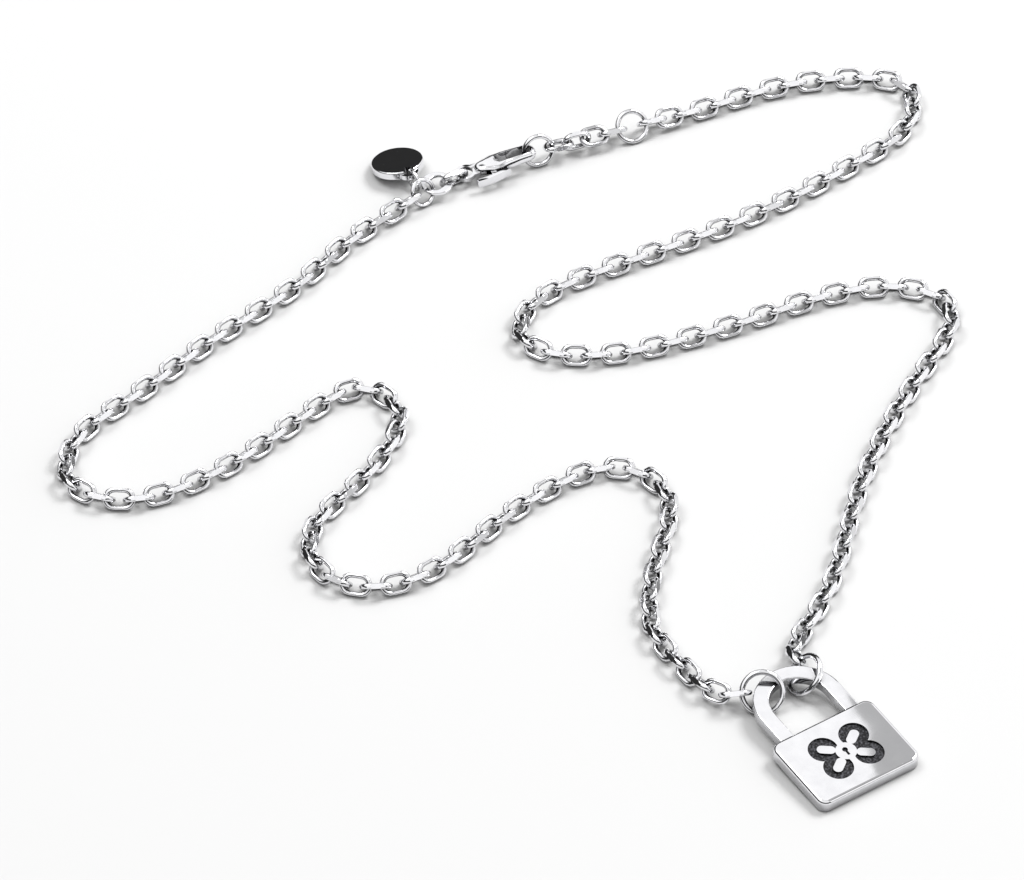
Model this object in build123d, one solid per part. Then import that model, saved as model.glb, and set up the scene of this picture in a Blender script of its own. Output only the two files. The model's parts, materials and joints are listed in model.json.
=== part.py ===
"""Padlock pendant on a cable chain, laid out flat as one closed loop.

All lengths are in millimetres, +Z is up and the necklace lies on the floor.
The sizes below are set from the centre of the padlock body, with +Y towards its shackle.
At the end everything is moved together, so that the middle of the whole necklace is at X = Y = 0.
"""
import os
from math import asin, atan2, cos, degrees, radians, sin, sqrt

from build123d import *

# Padlock body and shackle
BODY_WIDTH = 15.0
BODY_HEIGHT = 11.4
BODY_THICK = 1.8
BODY_CORNER = 1.3
BODY_FRONT_ROUND = 0.45
BODY_BACK_ROUND = 0.15
BAR_WIDTH = 2.05
BAR_THICK = 1.3
BAR_STEP = 0.2
BAR_ROUND = 0.2
BAR_ROOT = 1.0
ARCH_RADIUS = 4.85
LEG_HEIGHT = 4.0

# Sunk pattern on the front: four round lobes, a petal in each and a boss with a keyhole
PATTERN_DEPTH = 0.25
LOBE_RADIUS = 1.9
LOBE_ACROSS = 2.3
LOBE_UP = 1.65
PETAL_RADIUS = 0.62
PETAL_LENGTH = 1.1
PETAL_INNER = 1.9
BOSS_RADIUS = 1.35
KEYHOLE_RADIUS = 0.36
KEYHOLE_SLOT = 0.32
KEYHOLE_DROP = 0.95
KEYHOLE_RAISE = 0.25

# Rings round the shackle
PENDANT_RING_WIRE = 0.72
PENDANT_RING_PLAY = 0.65
PENDANT_RING_PULL = 0.1
PENDANT_RING_LEAN = 46.0
LEFT_RING_ARCH_ANGLE = 125.0
LEFT_RING_HEADING = 146.0
RIGHT_RING_ARCH_ANGLE = 48.0
RIGHT_RING_HEADING = 71.0

# Chain
LINK_WIRE = 0.74
LINK_BEND = 1.2
LINK_STRAIGHT = 1.15
LINK_FLAT = 0.2
LINK_GAP = 0.21
LINK_ROLL = 45.0
EASE_LINKS = 3

# Points the two runs of chain pass through, from the pendant rings to the ends of the chain
CHAIN_ROUTE = {
    "left": [
        (-7.8, 23), (-7.5, 30), (-3.5, 37), (2.5, 43), (7, 48), (8, 52), (5, 57.5), (-2, 59),
        (-13, 57.5), (-24, 55), (-32, 56.5), (-36, 62), (-34, 68.5), (-26, 72.5), (-17, 76.5),
        (-12, 82), (-13.5, 87.5), (-20, 88), (-30, 86), (-42, 85), (-51, 88), (-54, 93.5),
        (-50, 99.5), (-40, 102.5), (-25, 106), (-9, 109), (2, 112.5),
    ],
    "right": [
        (8.6, 20.6), (15.5, 25), (27, 35.5), (40, 45.3), (48.5, 50.3), (54, 53.3), (57.5, 56.5),
        (58.3, 59.5), (56.5, 63), (53, 66), (48.5, 67.9), (43, 69.2), (35.5, 70.3), (25, 72.3),
        (17, 74.8), (12.3, 77.5), (9.2, 81), (8.8, 84.5), (11.6, 87.7), (17, 89.2), (25, 88.8),
        (35, 87.6), (45.5, 86.7), (56, 86.8), (66, 87.7), (74, 89.5), (77.5, 92.5), (78.9, 96),
        (76.8, 99.3), (72, 102.6), (64.5, 105.6), (56, 107.2),
    ],
}

# End ring, tag and its ring
END_RING_AT = (13.0, 114.0)
END_RING_OUTER = 4.0
END_RING_WIRE = 0.6
END_RING_HEADING = 8.0
END_RING_LEAN = 60.0
TAG_RING_OUTER = 3.2
TAG_RING_WIRE = 0.5
TAG_RING_HEADING = 86.0
TAG_RING_STEP = 2.45
TAG_RING_HEIGHT = 2.0
TAG_DIAMETER = 7.0
TAG_THICK = 1.1
TAG_EDGE_ROUND = 0.2
TAG_SLOPE = 14.0
TAG_HEADING = 85.0
EAR_REACH = 3.3
EAR_OUTER = 2.6
EAR_HOLE = 1.5
EAR_THICK = 0.6

# Flat ring and clasp link
FLAT_RING_OUTER = 4.25
FLAT_RING_HOLE_WIDTH = 2.3
FLAT_RING_HOLE_LENGTH = 3.1
FLAT_RING_THICK = 0.45
FLAT_RING_ROUND = 0.1
FLAT_RING_HEADING = 12.0
FLAT_RING_HEIGHT = 1.6
FLAT_RING_SLACK = 0.1
CLASP_LINK_HEADING = -4.0
CLASP_LINK_ROLL = -72.0
CLASP_LINK_SLACK = 0.15

# Clasp, lying along its own +X from the middle of its eyelet
CLASP_HEADING = -13.0
CLASP_THICK = 1.5
CLASP_EDGE_ROUND = 0.68
CLASP_TAIL_HEIGHT = 1.45
CLASP_NOSE_RISE = 0.1
CLASP_SPAN = 8.6
EYE_OUTER = 2.7
EYE_HOLE = 1.9
EYE_THICK = 0.6
EYE_SLACK = 0.3
HEEL_AT = 2.2
HEEL_RADIUS = 1.0
SHOULDER_AT = 3.9
SHOULDER_RADIUS = 1.5
NOSE_RADIUS = 1.3
NOSE_WALL = 0.55
THROAT_AT = 5.1
THROAT_RADIUS = 0.85
PIVOT_AT = (3.4, 0.15)
PIN_RADIUS = 0.3
PIN_PLAY = 0.05
HUB_RADIUS = 0.7
LEVER_THICK = 0.6
LEVER_SIDE_PLAY = 0.05
GATE_LENGTH = 1.7
GATE_GAP = 0.09
GATE_INNER_Y = 0.82
WEB_OVERLAP = 0.3
ARM_WIDTH = 0.7
SLOT_PLAY = 0.05
TRIGGER_HEIGHT = 1.2
TRIGGER_LENGTH = 4.9
TRIGGER_THICK = 0.45
TRIGGER_CURVE = 12.0
TRIGGER_SLANT = 6.0
TRIGGER_OFFSET = 2.7
TRIGGER_BACK = 0.25
TRIGGER_CORNER = 0.4
LEVER_TRAVEL = 18.0

# Clasp ring and extension
CLASP_RING_OUTER = 4.7
CLASP_RING_WIRE = 0.65
CLASP_RING_STEP = 1.7
CLASP_RING_HEADING = -13.0
CLASP_RING_LEAN = 70.0
EXTENSION_HEADING = -11.0
EXTENSION_ROLLS = (-20.0, -86.0, 27.0, -42.0)
EXTENSION_RING_HEADING = -14.0
EXTENSION_RING_LEAN = 48.0
EXTENSION_CHAIN_HEADING = -10.0

UPRIGHT = 90.0
HALF_TURN = 180.0


def heading_vector(heading):
    """Level direction at an angle from +X, in degrees."""
    return Vector(cos(radians(heading)), sin(radians(heading)), 0)


def stepped(start, distance, heading, height):
    """Point at a straight distance from start, at a heading seen from above and a new height."""
    run = sqrt(distance**2 - (height - start.Z) ** 2)
    level = heading_vector(heading) * run
    return Vector(start.X + level.X, start.Y + level.Y, height)


def laid_plane(centre, along, roll):
    """Plane of a link or ring: its x runs along, and it is rolled about that line."""
    forward = along.normalized()
    left = Vector(0, 0, 1).cross(forward).normalized()
    upward = forward.cross(left)
    across = left * cos(radians(roll)) + upward * sin(radians(roll))
    return Plane(origin=centre, x_dir=forward, z_dir=forward.cross(across))


def wire_reach(outer, wire):
    """Radius of the middle of the wire of a round ring."""
    return (outer - wire) / 2


def spacing(reach_a, wire_a, reach_b, wire_b):
    """Distance between the centres of two hooked pieces that are pulled to LINK_GAP apart."""
    return reach_a + reach_b - (wire_a + wire_b) / 2 - LINK_GAP


def joint_beyond(centre, heading, reach, wire):
    """Place where a chain hooks into a ring, level with the ring's centre."""
    return centre + heading_vector(heading) * (reach - wire / 2 - LINK_GAP / 2)


def round_ring(outer, wire):
    """Closed ring of round wire in the XY plane."""
    return Torus(wire_reach(outer, wire), wire / 2)


def floor_ring_plane(at, heading, lean, outer, wire):
    """Plane of a ring that leans, its lowest wire on the floor."""
    height = wire / 2 + wire_reach(outer, wire) * sin(radians(lean))
    return laid_plane(Vector(*at, height), heading_vector(heading), lean)


# Chain

LINK_REACH = LINK_STRAIGHT / 2 + LINK_BEND
LINK_PITCH = spacing(LINK_REACH, LINK_WIRE, LINK_REACH, LINK_WIRE)
LINK_WIDTH = 2 * LINK_BEND + LINK_WIRE - 2 * LINK_FLAT


def chain_link():
    """One oval link in the XY plane, long way along X, its two outer sides cut flat."""
    wire = LINK_WIRE / 2
    bend = Rot(0, 0, -90) * Torus(LINK_BEND, wire, major_angle=180, align=None)
    near_end = Pos(LINK_STRAIGHT / 2, 0, 0) * bend
    side = Pos(0, LINK_BEND, 0) * Cylinder(wire, LINK_STRAIGHT, rotation=(0, 90, 0))
    link = near_end + mirror(near_end, Plane.YZ) + side + mirror(side, Plane.XZ)
    return (link & Box(2 * LINK_REACH + 2 * LINK_WIRE, LINK_WIDTH, 2 * LINK_WIRE)).solid()


LINK = chain_link()


def link_rest_height(roll):
    """Height of the centre of a link that lies on the floor on the edge of its side flat."""
    half_flat = sqrt((LINK_WIRE / 2) ** 2 - (LINK_WIRE / 2 - LINK_FLAT) ** 2)
    lean = radians(abs(roll))
    return LINK_WIDTH / 2 * sin(lean) + half_flat * cos(lean)


def alternating_rolls(count):
    """Rolls of the links of a run, by turns to one side and the other."""
    return [LINK_ROLL if index % 2 == 0 else -LINK_ROLL for index in range(count)]


def chain_run(joints, rolls):
    """Loose links, one between each joint and the next."""
    links = []
    for here, there, roll in zip(joints[:-1], joints[1:], rolls):
        links.append(laid_plane((here + there) / 2, there - here, roll) * LINK)
    return Compound(children=links)


def route_joints(start, start_heading, points, end, end_heading, link_parity):
    """Evenly spaced joints along a smooth curve, for an odd or even number of links.

    The chain leaves and meets the rings at their headings and heights, and lies on the floor
    between them.
    """
    lead_out = start + heading_vector(start_heading) * LINK_PITCH
    lead_in = end - heading_vector(end_heading) * LINK_PITCH
    level = [(point.X, point.Y) for point in (start, lead_out, lead_in, end)]
    curve = Spline([*level[:2], *points, *level[2:]])
    count = int(curve.length / LINK_PITCH) + 1
    if count % 2 != link_parity:
        count += 1
    floor_height = link_rest_height(LINK_ROLL)
    joints = []
    for index in range(count + 1):
        from_start = max(0, 1 - index / EASE_LINKS) * (start.Z - floor_height)
        from_end = max(0, 1 - (count - index) / EASE_LINKS) * (end.Z - floor_height)
        place = curve.position_at(index / count)
        joints.append(Vector(place.X, place.Y, floor_height + from_start + from_end))
    return joints


# Padlock

ARCH_CENTRE_Y = BODY_HEIGHT / 2 + LEG_HEIGHT
BAR_BACK = BODY_THICK - BAR_STEP - BAR_THICK
BAR_MIDDLE = BAR_BACK + BAR_THICK / 2
HINGE_EDGE_Y = -BODY_HEIGHT / 2


def padlock_pattern():
    """Sunk parts of the front pattern, as a flat face."""
    lobes = Sketch()
    petals = Sketch()
    petal = Pos(PETAL_INNER + PETAL_LENGTH / 2, 0) * SlotCenterToCenter(PETAL_LENGTH, 2 * PETAL_RADIUS)
    for side in (-1, 1):
        for level in (-1, 1):
            lobes += Pos(side * LOBE_ACROSS, level * LOBE_UP) * Circle(LOBE_RADIUS)
            petals += Rot(0, 0, degrees(atan2(level * LOBE_UP, side * LOBE_ACROSS))) * petal
    keyhole = Pos(0, KEYHOLE_RAISE) * Circle(KEYHOLE_RADIUS)
    keyhole += Pos(0, KEYHOLE_RAISE - KEYHOLE_DROP / 2) * Rectangle(KEYHOLE_SLOT, KEYHOLE_DROP)
    return lobes - petals - Circle(BOSS_RADIUS) + keyhole


def shackle_bar():
    """Flat arched bar, its legs running down into the body, back face at Z = 0."""
    outer = ARCH_RADIUS + BAR_WIDTH / 2
    inner = ARCH_RADIUS - BAR_WIDTH / 2
    leg_length = LEG_HEIGHT + BAR_ROOT
    upper_half = Pos(0, outer) * Rectangle(2 * outer, 2 * outer)
    arch = (Circle(outer) - Circle(inner)) & upper_half
    for side in (-1, 1):
        arch += Pos(side * ARCH_RADIUS, -leg_length / 2) * Rectangle(BAR_WIDTH, leg_length)
    bar = extrude(arch, BAR_THICK)
    long_edges = bar.faces().sort_by(Axis.Z)[-1].edges() + bar.faces().sort_by(Axis.Z)[0].edges()
    outside = [edge for edge in long_edges if edge.center().Y > BAR_ROOT / 2 - leg_length]
    return fillet(outside, BAR_ROUND)


def padlock_flat():
    """Padlock lying on its back, body centre at X = Y = 0."""
    body = extrude(RectangleRounded(BODY_WIDTH, BODY_HEIGHT, BODY_CORNER), BODY_THICK)
    body = fillet(body.faces().sort_by(Axis.Z)[-1].edges(), BODY_FRONT_ROUND)
    body = fillet(body.faces().sort_by(Axis.Z)[0].edges(), BODY_BACK_ROUND)
    shackle = Pos(0, ARCH_CENTRE_Y, BAR_BACK) * shackle_bar()
    sunk = Pos(0, 0, BODY_THICK - PATTERN_DEPTH) * extrude(padlock_pattern(), 2 * PATTERN_DEPTH)
    return body + shackle - sunk


def ring_clear_radius(skew, lean):
    """Inner radius with which a leaning ring clears the shackle bar by PENDANT_RING_PLAY.

    The skew is the angle, seen from above, between the bar and the line across the ring.
    """
    corner = (1 - sqrt(0.5)) * BAR_ROUND
    half_width = BAR_WIDTH / 2 - corner
    half_thick = BAR_THICK / 2 - corner
    level = sin(radians(lean))
    upright = cos(radians(lean))
    along_bar = (half_width * level * abs(sin(skew)) + half_thick * upright) / (level * cos(skew))
    return sqrt(half_width**2 + half_thick**2 + along_bar**2) + PENDANT_RING_PLAY


RING_INNER = max(
    ring_clear_radius(radians(LEFT_RING_HEADING - LEFT_RING_ARCH_ANGLE), PENDANT_RING_LEAN),
    ring_clear_radius(radians(RIGHT_RING_HEADING - RIGHT_RING_ARCH_ANGLE), PENDANT_RING_LEAN),
)
PENDANT_RING_OUTER = 2 * (RING_INNER + PENDANT_RING_WIRE)
PENDANT_RING_REACH = wire_reach(PENDANT_RING_OUTER, PENDANT_RING_WIRE)
PENDANT_RING_HEIGHT = PENDANT_RING_WIRE / 2 + PENDANT_RING_REACH * sin(radians(PENDANT_RING_LEAN))


def bar_point(arch_angle):
    """Middle of the shackle bar at an angle of the arch, padlock flat on its back."""
    return Vector(
        ARCH_RADIUS * cos(radians(arch_angle)),
        ARCH_CENTRE_Y + ARCH_RADIUS * sin(radians(arch_angle)),
        BAR_MIDDLE,
    )


# The left ring lies under the bar and lifts it, so the padlock tips about its lower back edge.
LEFT_BAR_DISTANCE = bar_point(LEFT_RING_ARCH_ANGLE).Y - HINGE_EDGE_Y
PADLOCK_TIP = degrees(
    asin(PENDANT_RING_HEIGHT / sqrt(LEFT_BAR_DISTANCE**2 + BAR_MIDDLE**2))
    - atan2(BAR_MIDDLE, LEFT_BAR_DISTANCE)
)
TIPPED = Pos(0, HINGE_EDGE_Y, 0) * Rot(PADLOCK_TIP, 0, 0) * Pos(0, -HINGE_EDGE_Y, 0)


def pendant_ring_plane(arch_angle, heading):
    """Plane of a ring centred on the bar, leaning until its wire meets the floor."""
    on_bar = (TIPPED * Pos(*bar_point(arch_angle))).position
    centre = on_bar + heading_vector(heading) * PENDANT_RING_PULL
    lean = degrees(asin((centre.Z - PENDANT_RING_WIRE / 2) / PENDANT_RING_REACH))
    return laid_plane(centre, heading_vector(heading), -lean)


# Tag and flat ring

FLAT_RING_END_BAND = (FLAT_RING_OUTER - FLAT_RING_HOLE_LENGTH) / 2
FLAT_RING_REACH = wire_reach(FLAT_RING_OUTER, FLAT_RING_END_BAND)


def ear_height():
    """Height of the ear's middle when the far edge of the tag is on the floor."""
    slope = radians(TAG_SLOPE)
    return (EAR_REACH + TAG_DIAMETER / 2) * sin(slope) + TAG_THICK / 2 * cos(slope)


def tag_plane(ear_centre):
    """Plane in the middle of the tag's thickness, x from the ear down to the far edge."""
    slope = radians(TAG_SLOPE)
    level = heading_vector(TAG_HEADING) * cos(slope)
    return laid_plane(ear_centre, Vector(level.X, level.Y, -sin(slope)), 0)


def tag_flat():
    """Plain disc with a pierced ear, ear centre at the origin."""
    disc = Pos(EAR_REACH, 0, 0) * Cylinder(TAG_DIAMETER / 2, TAG_THICK)
    disc = fillet(disc.edges().filter_by(GeomType.CIRCLE), TAG_EDGE_ROUND)
    ear = Cylinder(EAR_OUTER / 2, EAR_THICK)
    return disc + ear - Cylinder(EAR_HOLE / 2, 2 * TAG_THICK)


def flat_ring():
    """Flat band ring with an oval hole, longer along X."""
    hole_run = FLAT_RING_HOLE_LENGTH - FLAT_RING_HOLE_WIDTH
    face = Circle(FLAT_RING_OUTER / 2) - SlotCenterToCenter(hole_run, FLAT_RING_HOLE_WIDTH)
    band = Pos(0, 0, -FLAT_RING_THICK / 2) * extrude(face, FLAT_RING_THICK)
    return fillet(band.faces().filter_by(Axis.Z).edges(), FLAT_RING_ROUND)


# Clasp

EYE_WALL = (EYE_OUTER - EYE_HOLE) / 2
CLASP_TALL = 2 * CLASP_THICK
LEVER_SLOT = LEVER_THICK + 2 * LEVER_SIDE_PLAY
GATE_START = THROAT_AT - THROAT_RADIUS + GATE_GAP
GATE_END = GATE_START + GATE_LENGTH


def disc_at(x, y, radius):
    """Circle of a clasp outline."""
    return Pos(x, y) * Circle(radius)


def clasp_block():
    """Solid outline of the clasp with softly rounded edges."""
    circles = (
        disc_at(HEEL_AT, 0, HEEL_RADIUS).edges()
        + disc_at(SHOULDER_AT, 0, SHOULDER_RADIUS).edges()
        + disc_at(CLASP_SPAN, 0, NOSE_RADIUS).edges()
    )
    block = Pos(0, 0, -CLASP_THICK / 2) * extrude(make_hull(circles), CLASP_THICK)
    return fillet(block.faces().filter_by(Axis.Z).edges(), CLASP_EDGE_ROUND)


def quarter_box(x, y):
    """Tall box that covers all the clasp beyond x and above y."""
    size = CLASP_SPAN + CLASP_TALL
    return Pos(x, y, 0) * Box(size, size, size, align=(Align.MIN, Align.MIN, Align.CENTER))


def clasp_body(block):
    """Clasp frame: eyelet, two cheeks round the lever, spine and hook."""
    pivot_x, pivot_y = PIVOT_AT
    throat = make_hull(
        disc_at(THROAT_AT, 0, THROAT_RADIUS).edges()
        + disc_at(CLASP_SPAN, 0, NOSE_RADIUS - NOSE_WALL).edges()
    )
    body = block - Pos(0, 0, -CLASP_TALL / 2) * extrude(throat, CLASP_TALL)
    gateway = Pos(pivot_x, pivot_y, 0) * Cylinder(GATE_END + GATE_GAP - pivot_x, CLASP_TALL)
    body -= gateway & quarter_box(THROAT_AT - THROAT_RADIUS, 0)
    swing = (SHOULDER_RADIUS + pivot_y) * sin(radians(LEVER_TRAVEL))
    slot_from = pivot_x - ARM_WIDTH / 2 - swing - SLOT_PLAY
    slot_to = pivot_x + ARM_WIDTH / 2 + SLOT_PLAY
    arm_slot = Box(
        slot_to - slot_from, CLASP_TALL, LEVER_SLOT, align=(Align.MIN, Align.MAX, Align.CENTER)
    )
    body -= Pos(slot_from, pivot_y, 0) * arm_slot
    hub_from = pivot_x - HUB_RADIUS - SLOT_PLAY
    hub_slot = Box(
        THROAT_AT - hub_from, CLASP_TALL, LEVER_SLOT, align=(Align.MIN, Align.MIN, Align.CENTER)
    )
    body -= Pos(hub_from, pivot_y - HUB_RADIUS - SLOT_PLAY, 0) * hub_slot
    body -= Pos(pivot_x, pivot_y, 0) * Cylinder(PIN_RADIUS, CLASP_TALL)
    neck = Box(
        HEEL_AT - HEEL_RADIUS / 2, 2 * HEEL_RADIUS, EYE_THICK, align=(Align.MIN, Align.CENTER, Align.CENTER)
    )
    tail = Cylinder(EYE_OUTER / 2, EYE_THICK) + neck - Cylinder(EYE_HOLE / 2, CLASP_TALL)
    return body + tail


def lever_trigger():
    """Thin curved thumb bar, bowed away from the clasp, its middle at the origin."""
    centre_y = TRIGGER_CURVE - TRIGGER_THICK / 2
    band = disc_at(0, centre_y, TRIGGER_CURVE) - disc_at(0, centre_y, TRIGGER_CURVE - TRIGGER_THICK)
    bow = band & Rectangle(TRIGGER_LENGTH, TRIGGER_CURVE)
    bar = Pos(0, 0, -TRIGGER_HEIGHT / 2) * extrude(bow, TRIGGER_HEIGHT)
    ends = bar.edges().filter_by(Axis.Y)
    return fillet(ends, TRIGGER_CORNER)


def clasp_lever(block):
    """Lever with its gate, hub, arm and long trigger, at rest with the gate shut."""
    pivot_x, pivot_y = PIVOT_AT
    pivot = Pos(pivot_x, pivot_y, 0)
    gate_zone = block & (pivot * Cylinder(GATE_END - pivot_x, CLASP_TALL))
    gate = gate_zone & quarter_box(GATE_START, GATE_INNER_Y)
    web_zone = Box(
        GATE_START + WEB_OVERLAP - pivot_x,
        CLASP_TALL,
        LEVER_THICK,
        align=(Align.MIN, Align.MIN, Align.CENTER),
    )
    web = gate_zone & (pivot * web_zone)
    hub = Cylinder(HUB_RADIUS, LEVER_THICK)
    arm = Box(ARM_WIDTH, TRIGGER_OFFSET, LEVER_THICK, align=(Align.CENTER, Align.MAX, Align.CENTER))
    trigger = Pos(-TRIGGER_BACK, -TRIGGER_OFFSET, 0) * Rot(0, 0, TRIGGER_SLANT) * lever_trigger()
    bore = Cylinder(PIN_RADIUS + PIN_PLAY, CLASP_TALL)
    return gate + web + pivot * (hub + arm + trigger) - pivot * bore


def clasp_pin():
    """Rivet pin through both cheeks, flush with them."""
    return Pos(*PIVOT_AT, 0) * Cylinder(PIN_RADIUS, CLASP_THICK)


def necklace():
    """All pieces by name, in the frame of the padlock body, and the plane of the clasp."""
    pieces = {"padlock": TIPPED * padlock_flat()}

    pendant_ring = round_ring(PENDANT_RING_OUTER, PENDANT_RING_WIRE)
    left_ring = pendant_ring_plane(LEFT_RING_ARCH_ANGLE, LEFT_RING_HEADING)
    right_ring = pendant_ring_plane(RIGHT_RING_ARCH_ANGLE, RIGHT_RING_HEADING)
    pieces["pendant_ring_left"] = left_ring * pendant_ring
    pieces["pendant_ring_right"] = right_ring * pendant_ring

    end_plane = floor_ring_plane(
        END_RING_AT, END_RING_HEADING, END_RING_LEAN, END_RING_OUTER, END_RING_WIRE
    )
    end_centre = end_plane.origin
    end_reach = wire_reach(END_RING_OUTER, END_RING_WIRE)
    pieces["end_ring"] = end_plane * round_ring(END_RING_OUTER, END_RING_WIRE)

    tag_ring_centre = stepped(end_centre, TAG_RING_STEP, TAG_RING_HEADING, TAG_RING_HEIGHT)
    tag_ring_plane = laid_plane(tag_ring_centre, heading_vector(TAG_RING_HEADING), UPRIGHT)
    pieces["tag_ring"] = tag_ring_plane * round_ring(TAG_RING_OUTER, TAG_RING_WIRE)
    tag_ring_reach = wire_reach(TAG_RING_OUTER, TAG_RING_WIRE)
    ear_centre = stepped(tag_ring_centre, tag_ring_reach, TAG_RING_HEADING, ear_height())
    pieces["tag"] = tag_plane(ear_centre) * tag_flat()

    hooked = spacing(end_reach, END_RING_WIRE, FLAT_RING_REACH, FLAT_RING_END_BAND)
    flat_centre = stepped(end_centre, hooked - FLAT_RING_SLACK, FLAT_RING_HEADING, FLAT_RING_HEIGHT)
    pieces["flat_ring"] = laid_plane(flat_centre, heading_vector(FLAT_RING_HEADING), 0) * flat_ring()

    hooked = spacing(FLAT_RING_REACH, FLAT_RING_END_BAND, LINK_REACH, LINK_WIRE)
    link_height = link_rest_height(CLASP_LINK_ROLL)
    link_centre = stepped(flat_centre, hooked - CLASP_LINK_SLACK, CLASP_LINK_HEADING, link_height)
    hooked = spacing(LINK_REACH, LINK_WIRE, wire_reach(EYE_OUTER, EYE_WALL), EYE_WALL)
    eye_centre = stepped(link_centre, hooked - EYE_SLACK, CLASP_LINK_HEADING, CLASP_TAIL_HEIGHT)
    link_plane = laid_plane(link_centre, eye_centre - flat_centre, CLASP_LINK_ROLL)
    pieces["clasp_link"] = link_plane * LINK

    big_reach = wire_reach(CLASP_RING_OUTER, CLASP_RING_WIRE)
    ring_height = CLASP_RING_WIRE / 2 + big_reach * sin(radians(CLASP_RING_LEAN))
    nose_centre = stepped(eye_centre, CLASP_SPAN, CLASP_HEADING, ring_height + CLASP_NOSE_RISE)
    clasp_plane = laid_plane(eye_centre, nose_centre - eye_centre, 0)
    block = clasp_block()
    pieces["clasp_body"] = clasp_plane * clasp_body(block)
    pieces["clasp_lever"] = clasp_plane * clasp_lever(block)
    pieces["clasp_pin"] = clasp_plane * clasp_pin()

    ring_at = clasp_plane.from_local_coords((CLASP_SPAN + CLASP_RING_STEP, 0, 0))
    ring_plane = floor_ring_plane(
        (ring_at.X, ring_at.Y), CLASP_RING_HEADING, CLASP_RING_LEAN, CLASP_RING_OUTER, CLASP_RING_WIRE
    )
    pieces["clasp_ring"] = ring_plane * round_ring(CLASP_RING_OUTER, CLASP_RING_WIRE)

    first_joint = joint_beyond(ring_plane.origin, EXTENSION_HEADING, big_reach, CLASP_RING_WIRE)
    run_length = len(EXTENSION_ROLLS) * LINK_PITCH
    far_height = CLASP_RING_WIRE / 2 + big_reach * sin(radians(EXTENSION_RING_LEAN))
    last_joint = stepped(first_joint, run_length, EXTENSION_HEADING, far_height)
    step = (last_joint - first_joint) / len(EXTENSION_ROLLS)
    joints = [first_joint + step * index for index in range(len(EXTENSION_ROLLS) + 1)]
    pieces["extension_chain"] = chain_run(joints, EXTENSION_ROLLS)
    far_centre = joint_beyond(last_joint, EXTENSION_HEADING, big_reach, CLASP_RING_WIRE)
    far_plane = laid_plane(far_centre, heading_vector(EXTENSION_RING_HEADING), EXTENSION_RING_LEAN)
    pieces["extension_ring"] = far_plane * round_ring(CLASP_RING_OUTER, CLASP_RING_WIRE)

    left_joints = route_joints(
        joint_beyond(left_ring.origin, LEFT_RING_HEADING, PENDANT_RING_REACH, PENDANT_RING_WIRE),
        LEFT_RING_HEADING,
        CHAIN_ROUTE["left"],
        joint_beyond(end_centre, END_RING_HEADING + HALF_TURN, end_reach, END_RING_WIRE),
        END_RING_HEADING,
        link_parity=0,
    )
    right_joints = route_joints(
        joint_beyond(right_ring.origin, RIGHT_RING_HEADING, PENDANT_RING_REACH, PENDANT_RING_WIRE),
        RIGHT_RING_HEADING,
        CHAIN_ROUTE["right"],
        joint_beyond(far_centre, EXTENSION_CHAIN_HEADING, big_reach, CLASP_RING_WIRE),
        EXTENSION_CHAIN_HEADING + HALF_TURN,
        link_parity=1,
    )
    pieces["chain_left"] = chain_run(left_joints, alternating_rolls(len(left_joints) - 1))
    pieces["chain_right"] = chain_run(right_joints, alternating_rolls(len(right_joints) - 1))
    return pieces, clasp_plane


def middle_of(shapes):
    """Move that brings the whole to X = Y = 0 with its lowest point on the floor."""
    boxes = [shape.bounding_box() for shape in shapes]
    low_x = min(box.min.X for box in boxes)
    high_x = max(box.max.X for box in boxes)
    low_y = min(box.min.Y for box in boxes)
    high_y = max(box.max.Y for box in boxes)
    low_z = min(box.min.Z for box in boxes)
    return Pos(-(low_x + high_x) / 2, -(low_y + high_y) / 2, -low_z)


def report(pieces, shift, clasp_plane):
    """Print the places and amounts that the record states."""
    back = shift * TIPPED * Pos(0, 0, 0)
    behind = shift * TIPPED * Pos(0, 0, -1)
    print("shift", shift.position)
    print("lever hinge", (shift * Pos(*clasp_plane.from_local_coords((*PIVOT_AT, 0)))).position)
    print("hinge axis", clasp_plane.z_dir)
    print("back face", back.position)
    print("back normal", behind.position - back.position)
    print("links", len(pieces["chain_left"].solids()), len(pieces["chain_right"].solids()))
    print("volume mm3", sum(solid.volume for shape in pieces.values() for solid in shape.solids()))


PIECES, CLASP_PLANE = necklace()
SHIFT = middle_of(PIECES.values())
os.makedirs("parts", exist_ok=True)
for node, shape in PIECES.items():
    export_step(SHIFT * shape, f"parts/{node}.step")
report(PIECES, SHIFT, CLASP_PLANE)
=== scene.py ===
"""Looks of a padlock pendant necklace in polished sterling silver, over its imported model.

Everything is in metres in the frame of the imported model. The necklace lies on a pale floor
and rides on the body "necklace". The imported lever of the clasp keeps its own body, "lever",
and turns on its pin with the finish that it is given here.
"""

import json
import logging
from dataclasses import dataclass, field
from enum import Enum

import bpy
import numpy as np
from mathutils import Matrix, Vector


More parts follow.
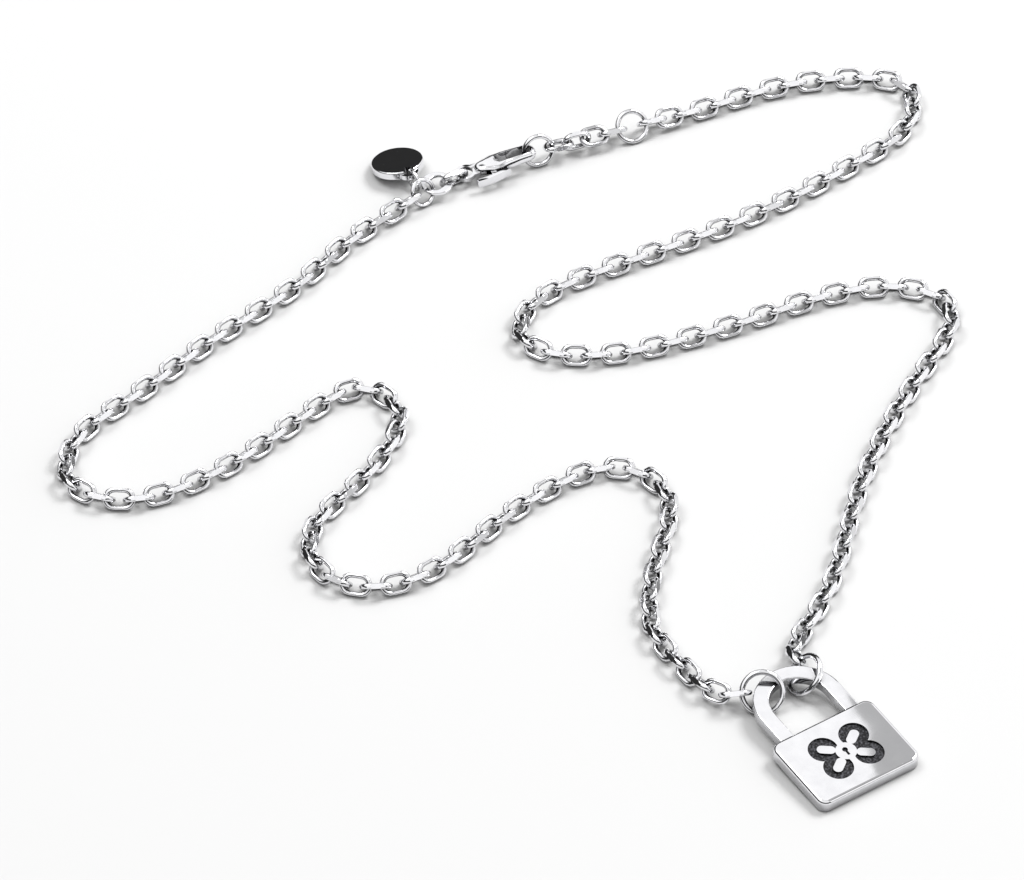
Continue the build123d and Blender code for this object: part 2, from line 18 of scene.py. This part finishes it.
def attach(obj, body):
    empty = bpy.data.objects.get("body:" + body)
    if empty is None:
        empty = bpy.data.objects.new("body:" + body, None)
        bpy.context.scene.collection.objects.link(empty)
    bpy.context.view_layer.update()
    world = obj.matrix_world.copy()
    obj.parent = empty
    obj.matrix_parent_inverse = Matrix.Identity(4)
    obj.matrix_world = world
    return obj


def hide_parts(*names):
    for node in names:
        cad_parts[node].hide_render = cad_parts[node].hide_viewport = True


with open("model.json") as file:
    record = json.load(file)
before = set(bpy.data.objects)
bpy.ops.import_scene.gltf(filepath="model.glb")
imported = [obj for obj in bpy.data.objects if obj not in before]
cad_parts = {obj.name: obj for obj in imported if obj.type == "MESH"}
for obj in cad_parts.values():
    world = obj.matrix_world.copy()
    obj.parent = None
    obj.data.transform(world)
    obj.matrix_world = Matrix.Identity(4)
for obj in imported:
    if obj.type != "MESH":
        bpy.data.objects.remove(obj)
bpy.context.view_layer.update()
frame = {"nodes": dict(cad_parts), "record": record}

LOG = logging.getLogger("necklace")
MM = 0.001
MERGE_MM = 0.001
NECKLACE_BODY = "necklace"
LINK_NODES = ("chain_left", "chain_right", "extension_chain", "clasp_link")
RING_NODES = (
    "pendant_ring_left",
    "pendant_ring_right",
    "end_ring",
    "tag_ring",
    "clasp_ring",
    "extension_ring",
)
CAST_NODES = ("tag", "flat_ring")
CLASP_NODES = ("clasp_body", "clasp_pin", "clasp_lever")


class Tone(Enum):
    """Plain colours of the silver, its blackening and the studio, as sRGB hex values."""

    SILVER = "eeeef0"
    SILVER_SHADE = "dcdcdf"
    BLACKENING = "0c0c0e"
    BLACKENING_THIN = "55555a"
    FLOOR = "cccccc"


def linear(tone: Tone) -> tuple[float, float, float, float]:
    """Turns an sRGB hex colour into linear RGBA.

    Args:
        tone: The named colour.

    Returns:
        Red, green, blue and alpha as the shader sockets take them.
    """
    parts = [int(tone.value[at:at + 2], 16) / 255 for at in (0, 2, 4)]
    red, green, blue = (c / 12.92 if c <= 0.04045 else ((c + 0.055) / 1.055) ** 2.4 for c in parts)
    return red, green, blue, 1.0


def grey(value: float) -> tuple[float, float, float, float]:
    """Gives a grey of a linear brightness as RGBA."""
    return value, value, value, 1.0


def per_mm(size_mm: float) -> float:
    """Gives the scale of a pattern whose features are so many millimetres across."""
    return 1 / (size_mm * MM)


def add_node(
    tree: bpy.types.NodeTree, kind: str, inputs: dict | None = None, **settings: object
) -> bpy.types.Node:
    """Adds a node with its settings, and sets or links its inputs.

    Args:
        tree: The node tree that gets the node.
        kind: The node's type name.
        inputs: Values or output sockets by the name or number of the input socket.
        **settings: Properties of the node itself.

    Returns:
        The new node.
    """
    node = tree.nodes.new(kind)
    for name, value in settings.items():
        setattr(node, name, value)
    for name, value in (inputs or {}).items():
        if isinstance(value, bpy.types.NodeSocket):
            tree.links.new(value, node.inputs[name])
        else:
            node.inputs[name].default_value = value
    return node


# Finishes


@dataclass(frozen=True)
class PolishedSilver:
    """Sterling silver, cast or drawn and then buffed on a wheel.

    Buffed silver mirrors its surroundings. The wheel leaves hairlines, slightly softer
    patches, and low waves that make the mirrored shapes wander. Where the surface is hemmed in
    by itself or by other pieces, the colour is darkened as painted shade, which also stands
    for the dull silver in the crevices that the wheel doesn't reach. The hairlines of a real
    wheel are finer than the picture shows, so they are drawn coarser here.
    """

    name: str
    roughness: float = 0.07
    roughness_spread: float = 0.05
    hairline_mm: float = 0.06
    hairline_depth_mm: float = 0.0002
    hairline_stretch: float = 0.08
    patch_mm: float = 1.5
    patch_range: tuple[float, float] = (0.35, 0.65)
    wave_mm: float = 4.0
    wave_depth_mm: float = 0.01
    crevice_mm: float = 1.9
    crevice_range: tuple[float, float] = (0.3, 0.8)
    crevice_shade: float = 0.1

    def build(self) -> bpy.types.Material:
        """Makes the material.

        Returns:
            The node-based material.
        """
        material = bpy.data.materials.new(self.name)
        material.use_nodes = True
        tree = material.node_tree
        shader = tree.nodes["Principled BSDF"]
        where = add_node(tree, "ShaderNodeTexCoord").outputs["Object"]
        patches = add_node(
            tree, "ShaderNodeTexNoise", {"Vector": where, "Scale": per_mm(self.patch_mm), "Detail": 3.0}
        )
        softness = add_node(
            tree,
            "ShaderNodeMapRange",
            {
                "Value": patches.outputs["Fac"],
                "From Min": self.patch_range[0],
                "From Max": self.patch_range[1],
                "To Min": self.roughness,
                "To Max": self.roughness + self.roughness_spread,
            },
        )
        tint = add_node(
            tree,
            "ShaderNodeMix",
            {"Factor": patches.outputs["Fac"], "A": linear(Tone.SILVER), "B": linear(Tone.SILVER_SHADE)},
            data_type="RGBA",
        )
        # Painted shade: ambient occlusion darkens the colour where the surface is hemmed in, in crevices and
        # near other pieces, also standing for the dull silver there.
        openness = add_node(
            tree, "ShaderNodeAmbientOcclusion", {"Distance": self.crevice_mm * MM}, samples=8
        )
        painted_shade_factor = add_node(
            tree,
            "ShaderNodeMapRange",
            {
                "Value": openness.outputs["AO"],
                "From Min": self.crevice_range[0],
                "From Max": self.crevice_range[1],
                "To Min": self.crevice_shade,
                "To Max": 1.0,
            },
        )
        worn_and_shaded = add_node(
            tree,
            "ShaderNodeVectorMath",
            {0: tint.outputs["Result"], "Scale": painted_shade_factor.outputs["Result"]},
            operation="SCALE",
        )
        stretched = add_node(
            tree, "ShaderNodeMapping", {"Vector": where, "Scale": (1.0, self.hairline_stretch, 1.0)}
        )
        hairlines = add_node(
            tree,
            "ShaderNodeTexNoise",
            {"Vector": stretched.outputs["Vector"], "Scale": per_mm(self.hairline_mm), "Detail": 2.0},
        )
        waves = add_node(
            tree, "ShaderNodeTexNoise", {"Vector": where, "Scale": per_mm(self.wave_mm), "Detail": 0.0}
        )
        low = add_node(
            tree,
            "ShaderNodeBump",
            {"Height": waves.outputs["Fac"], "Distance": self.wave_depth_mm * MM, "Strength": 1.0},
        )
        fine = add_node(
            tree,
            "ShaderNodeBump",
            {
                "Height": hairlines.outputs["Fac"],
                "Distance": self.hairline_depth_mm * MM,
                "Strength": 1.0,
                "Normal": low.outputs["Normal"],
            },
        )
        shader.inputs["Metallic"].default_value = 1.0
        tree.links.new(worn_and_shaded.outputs["Vector"], shader.inputs["Base Color"])
        tree.links.new(softness.outputs["Result"], shader.inputs["Roughness"])
        tree.links.new(fine.outputs["Normal"], shader.inputs["Normal"])
        return material


@dataclass(frozen=True)
class BlackenedSilver:
    """Cast silver blackened with liver of sulphur in the sunk parts.

    The sunk ground keeps the fine grain of the mould, and the blackening is thinner on the
    tops of the grains, where the buffing wheel just reaches.
    """

    name: str
    metallic: float = 0.7
    roughness: float = 0.42
    grain_mm: float = 0.3
    grain_depth_mm: float = 0.03
    worn_range: tuple[float, float] = (0.45, 0.75)

    def build(self) -> bpy.types.Material:
        """Makes the material.

        Returns:
            The node-based material.
        """
        material = bpy.data.materials.new(self.name)
        material.use_nodes = True
        tree = material.node_tree
        shader = tree.nodes["Principled BSDF"]
        where = add_node(tree, "ShaderNodeTexCoord").outputs["Object"]
        grain = add_node(
            tree, "ShaderNodeTexNoise", {"Vector": where, "Scale": per_mm(self.grain_mm), "Detail": 4.0}
        )
        worn_and_shaded = add_node(
            tree,
            "ShaderNodeMapRange",
            {
                "Value": grain.outputs["Fac"],
                "From Min": self.worn_range[0],
                "From Max": self.worn_range[1],
            },
        )
        tint = add_node(
            tree,
            "ShaderNodeMix",
            {
                "Factor": worn_and_shaded.outputs["Result"],
                "A": linear(Tone.BLACKENING),
                "B": linear(Tone.BLACKENING_THIN),
            },
            data_type="RGBA",
        )
        bump = add_node(
            tree,
            "ShaderNodeBump",
            {"Height": grain.outputs["Fac"], "Distance": self.grain_depth_mm * MM, "Strength": 1.0},
        )
        shader.inputs["Metallic"].default_value = self.metallic
        shader.inputs["Roughness"].default_value = self.roughness
        tree.links.new(tint.outputs["Result"], shader.inputs["Base Color"])
        tree.links.new(bump.outputs["Normal"], shader.inputs["Normal"])
        return material


# Drawn wire of the links: soft mirror, with painted shade, which also stands for dull silver, where link
# meets link.
LINK_FINISH = PolishedSilver("silver_drawn_and_buffed")
# Bent and soldered rings: the same wire, shaded over a wider crevice where rings cross.
RING_FINISH = PolishedSilver("silver_wire_soldered_and_buffed", crevice_mm=3.0)
# Small flat castings: sharper mirror with long waves.
CAST_FINISH = PolishedSilver(
    "silver_cast_and_buffed",
    roughness=0.035,
    roughness_spread=0.02,
    wave_mm=6.0,
    wave_depth_mm=0.09,
)
# Clasp, tumbled after casting: uneven skin that breaks the mirrored studio into streaks.
CLASP_FINISH = PolishedSilver(
    "silver_cast_and_tumbled",
    roughness=0.05,
    roughness_spread=0.03,
    wave_mm=2.2,
    wave_depth_mm=0.7,
    crevice_mm=3.0,
)
# Padlock, buffed longest: a near mirror that shows a clean edge between white and grey.
PADLOCK_FINISH = PolishedSilver(
    "silver_cast_and_mirror_buffed",
    roughness=0.018,
    roughness_spread=0.01,
    hairline_depth_mm=0.00003,
    wave_mm=6.0,
    wave_depth_mm=0.012,
    crevice_mm=4.0,
)
# Ground of the padlock's pattern: matt black-grey grain.
GROUND_FINISH = BlackenedSilver("silver_cast_and_blackened")


# Shared mesh work


def plain_mesh(piece: bpy.types.Object) -> bpy.types.Object:
    """Turns a piece with modifiers into a plain mesh at the origin.

    Args:
        piece: The object whose modifiers give its shape.

    Returns:
        The same object with the shape in its mesh and no modifiers.
    """
    bpy.context.view_layer.update()
    seen = piece.evaluated_get(bpy.context.evaluated_depsgraph_get())
    mesh = bpy.data.meshes.new_from_object(seen)
    piece.modifiers.clear()
    piece.data = mesh
    mesh.name = piece.name
    return piece


def new_piece(name: str, mesh: bpy.types.Mesh) -> bpy.types.Object:
    """Links a new object for a mesh into the scene, at the origin."""
    piece = bpy.data.objects.new(name, mesh)
    bpy.context.scene.collection.objects.link(piece)
    return piece


def apply_tree(piece: bpy.types.Object, tree: bpy.types.NodeTree, values: dict) -> bpy.types.Object:
    """Runs a geometry tree on a piece and keeps the result as its plain mesh.

    Args:
        piece: The object the tree starts from.
        tree: The geometry node tree.
        values: Values of the tree's inputs by their names.

    Returns:
        The piece with the result in its mesh.
    """
    modifier = piece.modifiers.new("shape", "NODES")
    modifier.node_group = tree
    for item in tree.interface.items_tree:
        if item.item_type == "SOCKET" and item.in_out == "INPUT" and item.name in values:
            modifier[item.identifier] = values[item.name]
    return plain_mesh(piece)


def new_tree(name: str, inputs: dict[str, str]) -> bpy.types.NodeTree:
    """Makes an empty geometry tree with named inputs.

    Args:
        name: The tree's name.
        inputs: Socket type of each input after the geometry, by name.

    Returns:
        The new tree.
    """
    tree = bpy.data.node_groups.new(name, "GeometryNodeTree")
    tree.interface.new_socket("Geometry", in_out="INPUT", socket_type="NodeSocketGeometry")
    for label, kind in inputs.items():
        tree.interface.new_socket(label, in_out="INPUT", socket_type=kind)
    tree.interface.new_socket("Geometry", in_out="OUTPUT", socket_type="NodeSocketGeometry")
    return tree


@dataclass
class Places:
    """Centres and turns of the loose pieces of a node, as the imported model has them."""

    centres: np.ndarray
    turns: np.ndarray

    @classmethod
    def of_node(cls, node: str) -> "Places":
        """Finds each loose piece of a node: its middle, its long way as x and its thin way as z.

        Args:
            node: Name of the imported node.

        Returns:
            One place for each loose piece.
        """
        tree = new_tree("sort_loose_pieces", {})
        given = add_node(tree, "NodeGroupInput").outputs["Geometry"]
        merged = add_node(
            tree, "GeometryNodeMergeByDistance", {"Geometry": given, "Distance": MERGE_MM * MM}
        )
        island = add_node(tree, "GeometryNodeInputMeshIsland")
        stored = add_node(
            tree,
            "GeometryNodeStoreNamedAttribute",
            {
                "Geometry": merged.outputs["Geometry"],
                "Name": "island",
                "Value": island.outputs["Island Index"],
            },
            data_type="INT",
            domain="FACE",
        )
        add_node(tree, "NodeGroupOutput", {"Geometry": stored.outputs["Geometry"]})
        copy = apply_tree(new_piece("sorting", frame["nodes"][node].data.copy()), tree, {})
        mesh = copy.data
        count = len(mesh.polygons)
        points = np.zeros(len(mesh.vertices) * 3)
        mesh.vertices.foreach_get("co", points)
        corners = np.zeros(count * 3, dtype=np.int64)
        mesh.polygons.foreach_get("vertices", corners)
        labels = np.zeros(count, dtype=np.int64)
        mesh.attributes["island"].data.foreach_get("value", labels)
        bpy.data.objects.remove(copy)
        bpy.data.meshes.remove(mesh)
        triangles = points.reshape(-1, 3)[corners.reshape(-1, 3)]
        sides = triangles[:, 1] - triangles[:, 0], triangles[:, 2] - triangles[:, 0]
        areas = np.linalg.norm(np.cross(*sides), axis=1)
        middles = triangles.mean(axis=1)
        centres, turns = [], []
        for label in range(labels.max() + 1):
            own = labels == label
            weight = areas[own] / areas[own].sum()
            centre = weight @ middles[own]
            away = middles[own] - centre
            axes = np.linalg.eigh((away * weight[:, None]).T @ away)[1][:, ::-1]
            axes[:, 2] = np.cross(axes[:, 0], axes[:, 1])
            centres.append(centre)
            turns.append(Matrix(axes.tolist()).to_quaternion())
        return cls(np.array(centres), np.array([tuple(turn) for turn in turns]))

    def point_mesh(self, name: str) -> bpy.types.Mesh:
        """Makes a mesh of bare points that carry their turns.

        Args:
            name: The mesh's name.

        Returns:
            One vertex for each place, with a rotation attribute called turn.
        """
        mesh = bpy.data.meshes.new(name)
        mesh.from_pydata(self.centres.tolist(), [], [])
        turn = mesh.attributes.new("turn", "QUATERNION", "POINT")
        turn.data.foreach_set("value", self.turns.ravel())
        return mesh


# Pieces made of wire


def place_copies(tree: bpy.types.NodeTree, given: bpy.types.Node, shape: bpy.types.NodeSocket) -> None:
    """Ends a geometry tree: one copy of a shape at each point, made real and given its finish.

    Args:
        tree: The geometry tree.
        given: Its group input node, with Geometry and Finish.
        shape: The socket that gives the shape.
    """
    turn = add_node(tree, "GeometryNodeInputNamedAttribute", {"Name": "turn"}, data_type="QUATERNION")
    placed = add_node(
        tree,
        "GeometryNodeInstanceOnPoints",
        {"Points": given.outputs["Geometry"], "Instance": shape, "Rotation": turn.outputs["Attribute"]},
    )
    real = add_node(tree, "GeometryNodeRealizeInstances", {"Geometry": placed.outputs["Instances"]})
    finished = add_node(
        tree,
        "GeometryNodeSetMaterial",
        {"Geometry": real.outputs["Geometry"], "Material": given.outputs["Finish"]},
    )
    add_node(tree, "NodeGroupOutput", {"Geometry": finished.outputs["Geometry"]})


@dataclass
class CableChain:
    """Cable chain of oval wire links, the outer sides of each link cut flat and bright.

    A link's middle line is a rectangle whose corners are rounded by nearly the whole bend, so
    that no two points fall together. Its sides are then pressed flat by the cut.
    """

    wire_mm: float = 0.74
    bend_mm: float = 1.2
    straight_mm: float = 1.15
    cut_mm: float = 0.2
    fillet_share: float = 0.985
    flat_above: float = 0.995
    bend_steps: int = 4
    wire_sides: int = 12
    tree: bpy.types.NodeTree = field(init=False)

    def __post_init__(self) -> None:
        """Builds the geometry tree of the links."""
        number = "NodeSocketFloat"
        self.tree = new_tree(
            "cable_links",
            {
                "Wire": number,
                "Bend": number,
                "Straight": number,
                "Cut": number,
                "Bend steps": "NodeSocketInt",
                "Wire sides": "NodeSocketInt",
                "Finish": "NodeSocketMaterial",
            },
        )
        tree = self.tree
        given = add_node(tree, "NodeGroupInput")
        size = given.outputs
        width = add_node(tree, "ShaderNodeMath", {0: size["Bend"], 1: 2.0}, operation="MULTIPLY")
        length = add_node(tree, "ShaderNodeMath", {0: width.outputs[0], 1: size["Straight"]})
        corner = add_node(
            tree, "ShaderNodeMath", {0: size["Bend"], 1: self.fillet_share}, operation="MULTIPLY"
        )
        frame_line = add_node(
            tree,
            "GeometryNodeCurvePrimitiveQuadrilateral",
            {"Width": length.outputs[0], "Height": width.outputs[0]},
        )
        oval = add_node(
            tree,
            "GeometryNodeFilletCurve",
            {"Curve": frame_line.outputs["Curve"], "Radius": corner.outputs[0], "Count": size["Bend steps"]},
            mode="POLY",
        )
        radius = add_node(tree, "ShaderNodeMath", {0: size["Wire"], 1: 0.5}, operation="MULTIPLY")
        section = add_node(
            tree,
            "GeometryNodeCurvePrimitiveCircle",
            {"Resolution": size["Wire sides"], "Radius": radius.outputs[0]},
        )
        tube = add_node(
            tree,
            "GeometryNodeCurveToMesh",
            {"Curve": oval.outputs["Curve"], "Profile Curve": section.outputs["Curve"]},
        )
        half_width = add_node(tree, "ShaderNodeMath", {0: size["Bend"], 1: radius.outputs[0]})
        side = add_node(
            tree, "ShaderNodeMath", {0: half_width.outputs[0], 1: size["Cut"]}, operation="SUBTRACT"
        )
        other_side = add_node(tree, "ShaderNodeMath", {0: side.outputs[0], 1: -1.0}, operation="MULTIPLY")
        where = add_node(
            tree, "ShaderNodeSeparateXYZ", {0: add_node(tree, "GeometryNodeInputPosition").outputs[0]}
        )
        kept = add_node(
            tree,
            "ShaderNodeClamp",
            {"Value": where.outputs["Y"], "Min": other_side.outputs[0], "Max": side.outputs[0]},
        )
        moved = add_node(
            tree,
            "ShaderNodeCombineXYZ",
            {"X": where.outputs["X"], "Y": kept.outputs[0], "Z": where.outputs["Z"]},
        )
        cut = add_node(
            tree,
            "GeometryNodeSetPosition",
            {"Geometry": tube.outputs["Mesh"], "Position": moved.outputs[0]},
        )
        facing = add_node(
            tree, "ShaderNodeSeparateXYZ", {0: add_node(tree, "GeometryNodeInputNormal").outputs[0]}
        )
        sideways = add_node(tree, "ShaderNodeMath", {0: facing.outputs["Y"]}, operation="ABSOLUTE")
        rounded = add_node(
            tree, "ShaderNodeMath", {0: sideways.outputs[0], 1: self.flat_above}, operation="LESS_THAN"
        )
        smooth = add_node(
            tree,
            "GeometryNodeSetShadeSmooth",
            {"Geometry": cut.outputs["Geometry"], "Shade Smooth": rounded.outputs[0]},
        )
        place_copies(tree, given, smooth.outputs["Geometry"])

    def run(self, node: str, finish: bpy.types.Material) -> bpy.types.Object:
        """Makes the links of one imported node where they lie.

        Args:
            node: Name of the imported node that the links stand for.
            finish: Their material.

        Returns:
            One mesh of all the links of the node.
        """
        links = new_piece(f"{node}_links", Places.of_node(node).point_mesh(f"{node}_links"))
        apply_tree(
            links,
            self.tree,
            {
                "Wire": self.wire_mm * MM,
                "Bend": self.bend_mm * MM,
                "Straight": self.straight_mm * MM,
                "Cut": self.cut_mm * MM,
                "Bend steps": self.bend_steps,
                "Wire sides": self.wire_sides,
                "Finish": finish,
            },
        )
        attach(links, NECKLACE_BODY)
        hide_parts(node)
        LOG.info("%s: %d triangles", links.name, sum(len(p.vertices) - 2 for p in links.data.polygons))
        return links


@dataclass
class DressedPiece:
    """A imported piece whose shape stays, given its real finish."""

    node: str
    finish: bpy.types.Material

    def dress(self) -> None:
        """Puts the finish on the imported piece."""
        piece = frame["nodes"][self.node]
        piece.data.materials.clear()
        piece.data.materials.append(self.finish)
        LOG.info("%s: dressed in %s", self.node, self.finish.name)


@dataclass
class PadlockPendant:
    """Padlock with an arched bar and a sunk front pattern whose ground is blackened."""

    polished: bpy.types.Material
    blackened: bpy.types.Material
    thick_mm: float = 1.8
    pattern_depth_mm: float = 0.25
    pattern_half_width_mm: float = 4.6
    pattern_half_height_mm: float = 3.9
    below_front_mm: float = 0.02
    below_ground_mm: float = 0.05

    def front_frame(self) -> Matrix:
        """Gives the turn from the scene to the padlock: back at z = 0, x across, y to the bar."""
        back = frame["record"]["mounts"][0]
        outward = -Vector(back["axis"])
        across = Vector((1, 0, 0))
        upward = outward.cross(across)
        turn = Matrix((across, upward, outward)).to_4x4()
        return turn @ Matrix.Translation(-Vector(back["pos_m"]))

    def dress(self) -> bpy.types.Object:
        """Makes the padlock and blackens the ground and walls of its pattern.

        Returns:
            The padlock piece.
        """
        piece = new_piece("padlock_buffed", frame["nodes"]["padlock"].data.copy())
        piece.data.materials.clear()
        piece.data.materials.append(self.polished)
        piece.data.materials.append(self.blackened)
        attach(piece, NECKLACE_BODY)
        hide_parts("padlock")
        to_front = self.front_frame()
        highest = (self.thick_mm - self.below_front_mm) * MM
        lowest = (self.thick_mm - self.pattern_depth_mm - self.below_ground_mm) * MM
        for face in piece.data.polygons:
            middle = to_front @ face.center
            inside = abs(middle.x) < self.pattern_half_width_mm * MM
            inside = inside and abs(middle.y) < self.pattern_half_height_mm * MM
            if inside and lowest < middle.z < highest:
                face.material_index = 1
        LOG.info("%s: dressed in %s and %s", piece.name, self.polished.name, self.blackened.name)
        return piece


# Studio


@dataclass(frozen=True)
class Softbox:
    """Rectangular soft light, with its place and sides in metres and its power in watts."""

    name: str
    at: tuple[float, float, float]
    size: tuple[float, float]
    power: float

    def hang(self) -> None:
        """Hangs the light so that it faces the middle of the floor."""
        light = bpy.data.lights.new(self.name, "AREA")
        light.shape = "RECTANGLE"
        light.size, light.size_y = self.size
        light.energy = self.power
        lamp = bpy.data.objects.new(self.name, light)
        lamp.location = self.at
        lamp.rotation_mode = "QUATERNION"
        lamp.rotation_quaternion = (-Vector(self.at)).to_track_quat("-Z", "Y")
        bpy.context.scene.collection.objects.link(lamp)


@dataclass
class Studio:
    """Pale floor, a bright tent of light that is dark near the horizon, and the camera.

    Heights in the tent run from 0 at the horizon to 1 overhead. A window to one side lets the
    white come down lower there, and a grey card hangs in the white, with one sharp edge.
    """

    floor_size: float = 6.0
    floor_roughness: float = 0.9
    floor_specular: float = 0.2
    tent_strength: float = 1.2
    tent_low: float = 0.02
    tent_top: float = 1.0
    tent_rise: tuple[tuple[float, float], ...] = (
        (0.46, 0.03),
        (0.54, 0.12),
        (0.60, 0.75),
        (0.66, 1.0),
        (0.93, 1.0),
        (0.95, 0.4),
    )
    window_side: tuple[float, float, float] = (0.95, -0.3, 0.0)
    window_range: tuple[float, float] = (0.45, 0.7)
    window_rise: float = 0.5
    card_side: tuple[float, float, float] = (0.968, -0.25, 0.0)
    card_edge: float = 0.2960
    card_edge_blur: float = 0.0002
    card_foot: tuple[float, float] = (0.735, 0.745)
    card_shade: float = 0.45
    key: Softbox = Softbox("key", (0.80, 0.05, 1.05), (0.5, 0.5), 13.0)
    fill: Softbox = Softbox("fill", (-0.30, 0.45, 1.25), (0.6, 0.6), 6.0)
    camera_at: tuple[float, float, float] = (-0.40221, -0.56818, 0.67493)
    camera_aim: tuple[float, float, float] = (-0.01478, 0.01056, 0.00003)
    lens_mm: float = 266.4

    def floor(self) -> None:
        """Lays the plain pale floor."""
        half = self.floor_size / 2
        mesh = bpy.data.meshes.new("floor")
        mesh.from_pydata(
            [(-half, -half, 0), (half, -half, 0), (half, half, 0), (-half, half, 0)], [], [(0, 1, 2, 3)]
        )
        material = bpy.data.materials.new("matt_white_card")
        material.use_nodes = True
        shader = material.node_tree.nodes["Principled BSDF"]
        shader.inputs["Base Color"].default_value = linear(Tone.FLOOR)
        shader.inputs["Roughness"].default_value = self.floor_roughness
        shader.inputs["Specular IOR Level"].default_value = self.floor_specular
        mesh.materials.append(material)
        new_piece("floor", mesh)

    def tent(self) -> None:
        """Lights the scene from all round, white above and dark near the horizon."""
        world = bpy.data.worlds.new("light_tent")
        bpy.context.scene.world = world
        world.use_nodes = True
        tree = world.node_tree
        tree.nodes.clear()
        where = add_node(tree, "ShaderNodeTexCoord").outputs["Generated"]
        height = add_node(tree, "ShaderNodeSeparateXYZ", {0: where}).outputs["Z"]
        to_window = add_node(
            tree, "ShaderNodeVectorMath", {0: where, 1: self.window_side}, operation="DOT_PRODUCT"
        )
        opening = add_node(
            tree,
            "ShaderNodeMapRange",
            {
                "Value": to_window.outputs["Value"],
                "From Min": self.window_range[0],
                "From Max": self.window_range[1],
                "To Max": self.window_rise,
            },
        )
        raised = add_node(
            tree, "ShaderNodeMath", {0: height, 1: opening.outputs["Result"]}, operation="ADD"
        )
        walls = add_node(tree, "ShaderNodeValToRGB", {"Fac": raised.outputs[0]})
        stops = walls.color_ramp.elements
        stops[0].position, stops[0].color = 0.0, grey(self.tent_low)
        stops[1].position, stops[1].color = 1.0, grey(self.tent_top)
        for place, value in self.tent_rise:
            stops.new(place).color = grey(value)
        to_card = add_node(
            tree, "ShaderNodeVectorMath", {0: where, 1: self.card_side}, operation="DOT_PRODUCT"
        )
        beyond_edge = add_node(
            tree,
            "ShaderNodeMapRange",
            {
                "Value": to_card.outputs["Value"],
                "From Min": self.card_edge - self.card_edge_blur,
                "From Max": self.card_edge + self.card_edge_blur,
            },
        )
        above_foot = add_node(
            tree,
            "ShaderNodeMapRange",
            {"Value": height, "From Min": self.card_foot[0], "From Max": self.card_foot[1]},
        )
        on_card = add_node(
            tree,
            "ShaderNodeMath",
            {0: beyond_edge.outputs["Result"], 1: above_foot.outputs["Result"]},
            operation="MULTIPLY",
        )
        bright = add_node(
            tree,
            "ShaderNodeMapRange",
            {
                "Value": on_card.outputs[0],
                "To Min": self.tent_strength,
                "To Max": self.tent_strength * self.card_shade,
            },
        )
        lit = add_node(
            tree,
            "ShaderNodeBackground",
            {"Color": walls.outputs["Color"], "Strength": bright.outputs["Result"]},
        )
        seen = add_node(tree, "ShaderNodeBackground", {"Color": linear(Tone.FLOOR), "Strength": 1.0})
        path = add_node(tree, "ShaderNodeLightPath")
        both = add_node(
            tree,
            "ShaderNodeMixShader",
            {0: path.outputs["Is Camera Ray"], 1: lit.outputs[0], 2: seen.outputs[0]},
        )
        add_node(tree, "ShaderNodeOutputWorld", {"Surface": both.outputs[0]})

    def camera(self) -> None:
        """Sets the camera at the photograph's place and angle."""
        lens = bpy.data.cameras.new("camera")
        lens.lens = self.lens_mm
        lens.sensor_width = 36.0
        lens.clip_start, lens.clip_end = 0.01, 20.0
        camera = bpy.data.objects.new("camera", lens)
        camera.location = self.camera_at
        camera.rotation_mode = "QUATERNION"
        aim = Vector(self.camera_aim) - Vector(self.camera_at)
        camera.rotation_quaternion = aim.to_track_quat("-Z", "Y")
        bpy.context.scene.collection.objects.link(camera)
        bpy.context.scene.camera = camera

    def build(self) -> None:
        """Builds the floor, the lights and the camera."""
        self.floor()
        self.tent()
        self.key.hang()
        self.fill.hang()
        self.camera()
        bpy.context.scene.view_settings.view_transform = "Standard"


def main() -> None:
    """Builds every piece in order and reports each one."""
    logging.basicConfig(level=logging.INFO, format="%(message)s")
    Studio().build()
    links = LINK_FINISH.build()
    rings = RING_FINISH.build()
    cast = CAST_FINISH.build()
    clasp = CLASP_FINISH.build()
    chain = CableChain()
    for node in LINK_NODES:
        chain.run(node, links)
    for node in RING_NODES:
        DressedPiece(node, rings).dress()
    PadlockPendant(PADLOCK_FINISH.build(), GROUND_FINISH.build()).dress()
    for node in CAST_NODES:
        DressedPiece(node, cast).dress()
    for node in CLASP_NODES:
        DressedPiece(node, clasp).dress()


if __name__ == "__main__":
    main()
